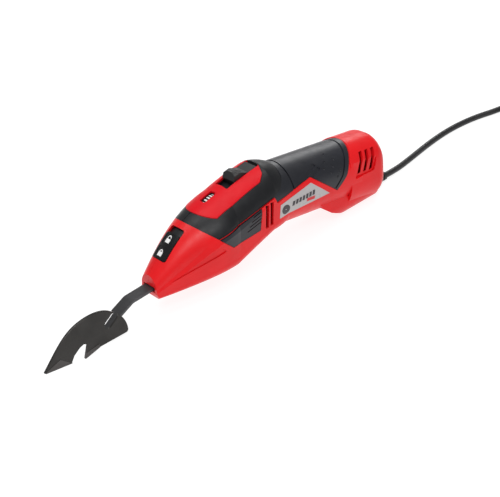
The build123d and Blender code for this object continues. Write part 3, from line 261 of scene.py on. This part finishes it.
RED = (0.70, 0.005, 0.008)
FINISHES = {
    "red_shell": moulded("red_shell", RED, 0.36, spread=0.05, shine=0.30),
    "red_panel": moulded("red_panel", (0.64, 0.001, 0.008), 0.38, spread=0.04, shine=0.16),
    "black_plastic": moulded(
        "black_plastic", (0.007, 0.0075, 0.009), 0.40, depth=0.00004, spread=0.15, shine=0.30,
    ),
    "switch_black": moulded("switch_black", (0.008, 0.008, 0.009), 0.40, spread=0.15, shine=0.35),
    "lock_black": moulded(
        "lock_black", (0.004, 0.004, 0.005), 0.25, depth=0.00001, spread=0.1, shine=0.35,
    ),
    "soft_grip": moulded(
        "soft_grip", (0.009, 0.010, 0.015), 0.36, grain=1800.0, depth=0.00006, spread=0.15, shine=0.50,
    ),
    "label_silver": moulded(
        "label_silver", (0.42, 0.40, 0.40), 0.30, grain=4000.0, depth=0.00001, spread=0.04,
    ),
    "dial_black": dial_material(),
    "blade_steel": metal(
        "blade_steel", (0.040, 0.038, 0.036), 0.42, (1, 1, 6), wear=0.12, metallic=0.75,
    ),
    "shank_steel": metal(
        "shank_steel", (0.075, 0.075, 0.078), 0.38, (6, 1, 1), wear=0.10, metallic=0.8,
    ),
    "carbide": metal("carbide", (0.075, 0.070, 0.068), 0.36, (4, 1, 1), wear=0.10, metallic=0.8),
    "bright_steel": metal("bright_steel", (0.60, 0.60, 0.61), 0.28, (1, 1, 8)),
    "gear_steel": metal("gear_steel", (0.40, 0.40, 0.41), 0.38),
    "bronze": metal("bronze", (0.55, 0.34, 0.14), 0.42),
    "frame_metal": metal("frame_metal", (0.55, 0.55, 0.56), 0.50, scale=500.0),
    "core_steel": metal("core_steel", (0.30, 0.30, 0.31), 0.45, (20, 1, 1)),
    "copper": winding_material(),
    "carbon": moulded("carbon", (0.03, 0.03, 0.03), 0.6, spread=0.3),
    "board": moulded("board", (0.02, 0.12, 0.05), 0.35, spread=0.3),
    "component": moulded("component", (0.05, 0.06, 0.20), 0.35, spread=0.2),
    "cord": moulded("cord", (0.012, 0.012, 0.013), 0.45, grain=1500.0, depth=0.00005, spread=0.2),
    "tie": moulded("tie", (0.020, 0.020, 0.020), 0.35),
    "pins": metal("pins", (0.70, 0.70, 0.68), 0.18, (8, 1, 1)),
}
WHITE_INK = moulded("white_ink", (0.80, 0.80, 0.80), 0.35, spread=0.03)
BLACK_INK = moulded("black_ink", (0.03, 0.025, 0.03), 0.35, spread=0.10)
RED_INK = moulded("red_ink", (0.55, 0.015, 0.02), 0.35, spread=0.05)


def paint_nodes():
    slots = {entry["node"]: entry["material_slot"] for entry in frame["record"]["subparts"]}
    for name, piece in frame["nodes"].items():
        piece.data.materials.clear()
        piece.data.materials.append(FINISHES[slots[name]])


paint_nodes()
cord.data.materials.append(FINISHES["cord"])

# ---------------------------------------------------------------- marks printed on the surfaces
MARK_PROUD = 0.06


def print_mark(name, outlines, corner, across, along, node, body, material):
    """A thin printed mark: flat outlines in the plane of across and along, laid on the node's surface."""
    surface = BVHTree.FromObject(frame["nodes"][node], bpy.context.evaluated_depsgraph_get())
    normal = across.cross(along).normalized()
    mesh = bmesh.new()
    for outline in outlines:
        corners = [mesh.verts.new(corner + (across * u + along * v) * MM) for u, v in outline]
        mesh.faces.new(corners)
    bmesh.ops.triangulate(mesh, faces=mesh.faces[:])
    for _ in range(3):
        long_edges = [edge for edge in mesh.edges if edge.calc_length() > 0.9 * MM]
        bmesh.ops.subdivide_edges(mesh, edges=long_edges, cuts=1)
        bmesh.ops.triangulate(mesh, faces=mesh.faces[:])
    for vertex in mesh.verts:
        hit = surface.ray_cast(vertex.co + normal * 12 * MM, -normal, 30 * MM)[0]
        if hit:
            vertex.co = hit + normal * MARK_PROUD * MM
    data = bpy.data.meshes.new(name)
    mesh.to_mesh(data)
    mesh.free()
    piece = bpy.data.objects.new(name, data)
    bpy.context.scene.collection.objects.link(piece)
    data.materials.append(material)
    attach(piece, body)
    return piece


def box_outline(u, v, width, height, slant=0.0):
    return [
        (u - width / 2 - slant, v - height / 2), (u + width / 2 - slant, v - height / 2),
        (u + width / 2 + slant, v + height / 2), (u - width / 2 + slant, v + height / 2),
    ]


def ring_outlines(u, v, outer, inner, start, end, steps=10):
    """A part of a ring as quads, from start to end in degrees."""
    quads = []
    for step in range(steps):
        a, b = (radians(start + (end - start) * (step + more) / steps) for more in (0, 1))
        quads.append([
            (u + inner * cos(a), v + inner * sin(a)), (u + outer * cos(a), v + outer * sin(a)),
            (u + outer * cos(b), v + outer * sin(b)), (u + inner * cos(b), v + inner * sin(b)),
        ])
    return quads


def add_padlocks():
    """Closed padlock in front and open padlock behind, on the lock slider's two recessed squares."""
    slope = radians(43.5)
    along = turned(cos(slope), 0, sin(slope))
    across = Vector((0, 1, 0))
    for name, shift, opened in (("padlock_closed", -6.2, False), ("padlock_open", 6.2, True)):
        middle = placed(-83.0, 0, 33.4) + along * (-3.0 + shift) * MM
        shackle = 1.5 if opened else 0.4
        outlines = [box_outline(0, -1.4, 5.4, 3.8)]
        outlines += ring_outlines(0, shackle, 2.2, 1.3, 0, 180)
        outlines.append(box_outline(-1.75, (shackle + 0.4) / 2, 0.9, shackle - 0.4 + 0.1))
        if not opened:
            outlines.append(box_outline(1.75, (shackle + 0.4) / 2, 0.9, shackle - 0.4 + 0.1))
        print_mark(name, outlines, middle, -across, along, "lock_slider", "lock", WHITE_INK)


def add_labels():
    """Plain bars and a disc on each side's silver plate, in place of any lettering."""
    for side, way in (("left", -1), ("right", 1)):
        middle = placed(36.0, way * HANDLE_R, 43.0)
        along = turned(1, 0, 0) * (-way)
        up = turned(0, 0, 1)
        turn = -way

        def shifted(outline):
            return [(u * turn, v) for u, v in outline][::turn]

        def print_on_plate(part, outlines, ink):
            name, plate = f"label_{part}_{side}", f"label_{side}"
            print_mark(name, outlines, middle, along, up, plate, "housing", ink)

        disc = ring_outlines(-15.4, -4.2, 4.4, 0.5, 0, 360, 24)
        print_on_plate("disc", [shifted(quad) for quad in disc], BLACK_INK)
        bars = [box_outline(-7.0 + 3.7 * step, -0.9 + 0.55 * step, 2.6, 4.2, 0.5) for step in range(7)]
        print_on_plate("bars", [shifted(bar) for bar in bars], BLACK_INK)
        print_on_plate("block", [shifted(box_outline(12.0, -2.4, 9.0, 3.0, 0.4))], RED_INK)


add_padlocks()
add_labels()

# ---------------------------------------------------------------- floor and light
FLOOR_GLOW = 0.86                       # keeps the floor pale where the body shades it
FLOOR_HALF = 6.0                        # metres
FLOOR_GREY = 0.22
SKY_STRENGTH = 0.36
LIGHTS_AIM = Vector((0, 0, 0.03))


def add_floor():
    mesh = bpy.data.meshes.new("floor")
    corners = [(-1, -1), (1, -1), (1, 1), (-1, 1)]
    mesh.from_pydata([(x * FLOOR_HALF, y * FLOOR_HALF, 0) for x, y in corners], [], [(0, 1, 2, 3)])
    floor = bpy.data.objects.new("floor", mesh)
    bpy.context.scene.collection.objects.link(floor)
    material, tree, shader = new_material("floor", (FLOOR_GREY, FLOOR_GREY, FLOOR_GREY), 0.85)
    greys = ramp(tree, noise(tree, 3.0), FLOOR_GREY - 0.01, FLOOR_GREY + 0.01)
    tree.links.new(greys, shader.inputs["Base Color"])
    shader.inputs["Emission Color"].default_value = (1.0, 1.0, 1.0, 1.0)
    shader.inputs["Emission Strength"].default_value = FLOOR_GLOW
    mesh.materials.append(material)


def add_light(name, where, size, power):
    data = bpy.data.lights.new(name, "AREA")
    data.shape = "RECTANGLE"
    data.size, data.size_y = size
    data.energy = power
    light = bpy.data.objects.new(name, data)
    bpy.context.scene.collection.objects.link(light)
    light.location = where
    light.rotation_euler = (LIGHTS_AIM - Vector(where)).to_track_quat("-Z", "Y").to_euler()


def add_world():
    world = bpy.data.worlds.new("studio")
    world.use_nodes = True
    background = world.node_tree.nodes["Background"]
    background.inputs["Color"].default_value = (1.0, 1.0, 1.0, 1.0)
    background.inputs["Strength"].default_value = SKY_STRENGTH
    bpy.context.scene.world = world


add_floor()
add_world()
add_light("key", (-0.5, -1.0, 1.3), (0.9, 0.6), 11.0)
add_light("top", (0.1, 0.1, 1.5), (1.6, 0.8), 13.0)
add_light("rim", (0.9, 0.8, 0.7), (0.8, 0.4), 4.0)
bpy.context.scene.view_settings.view_transform = "Standard"
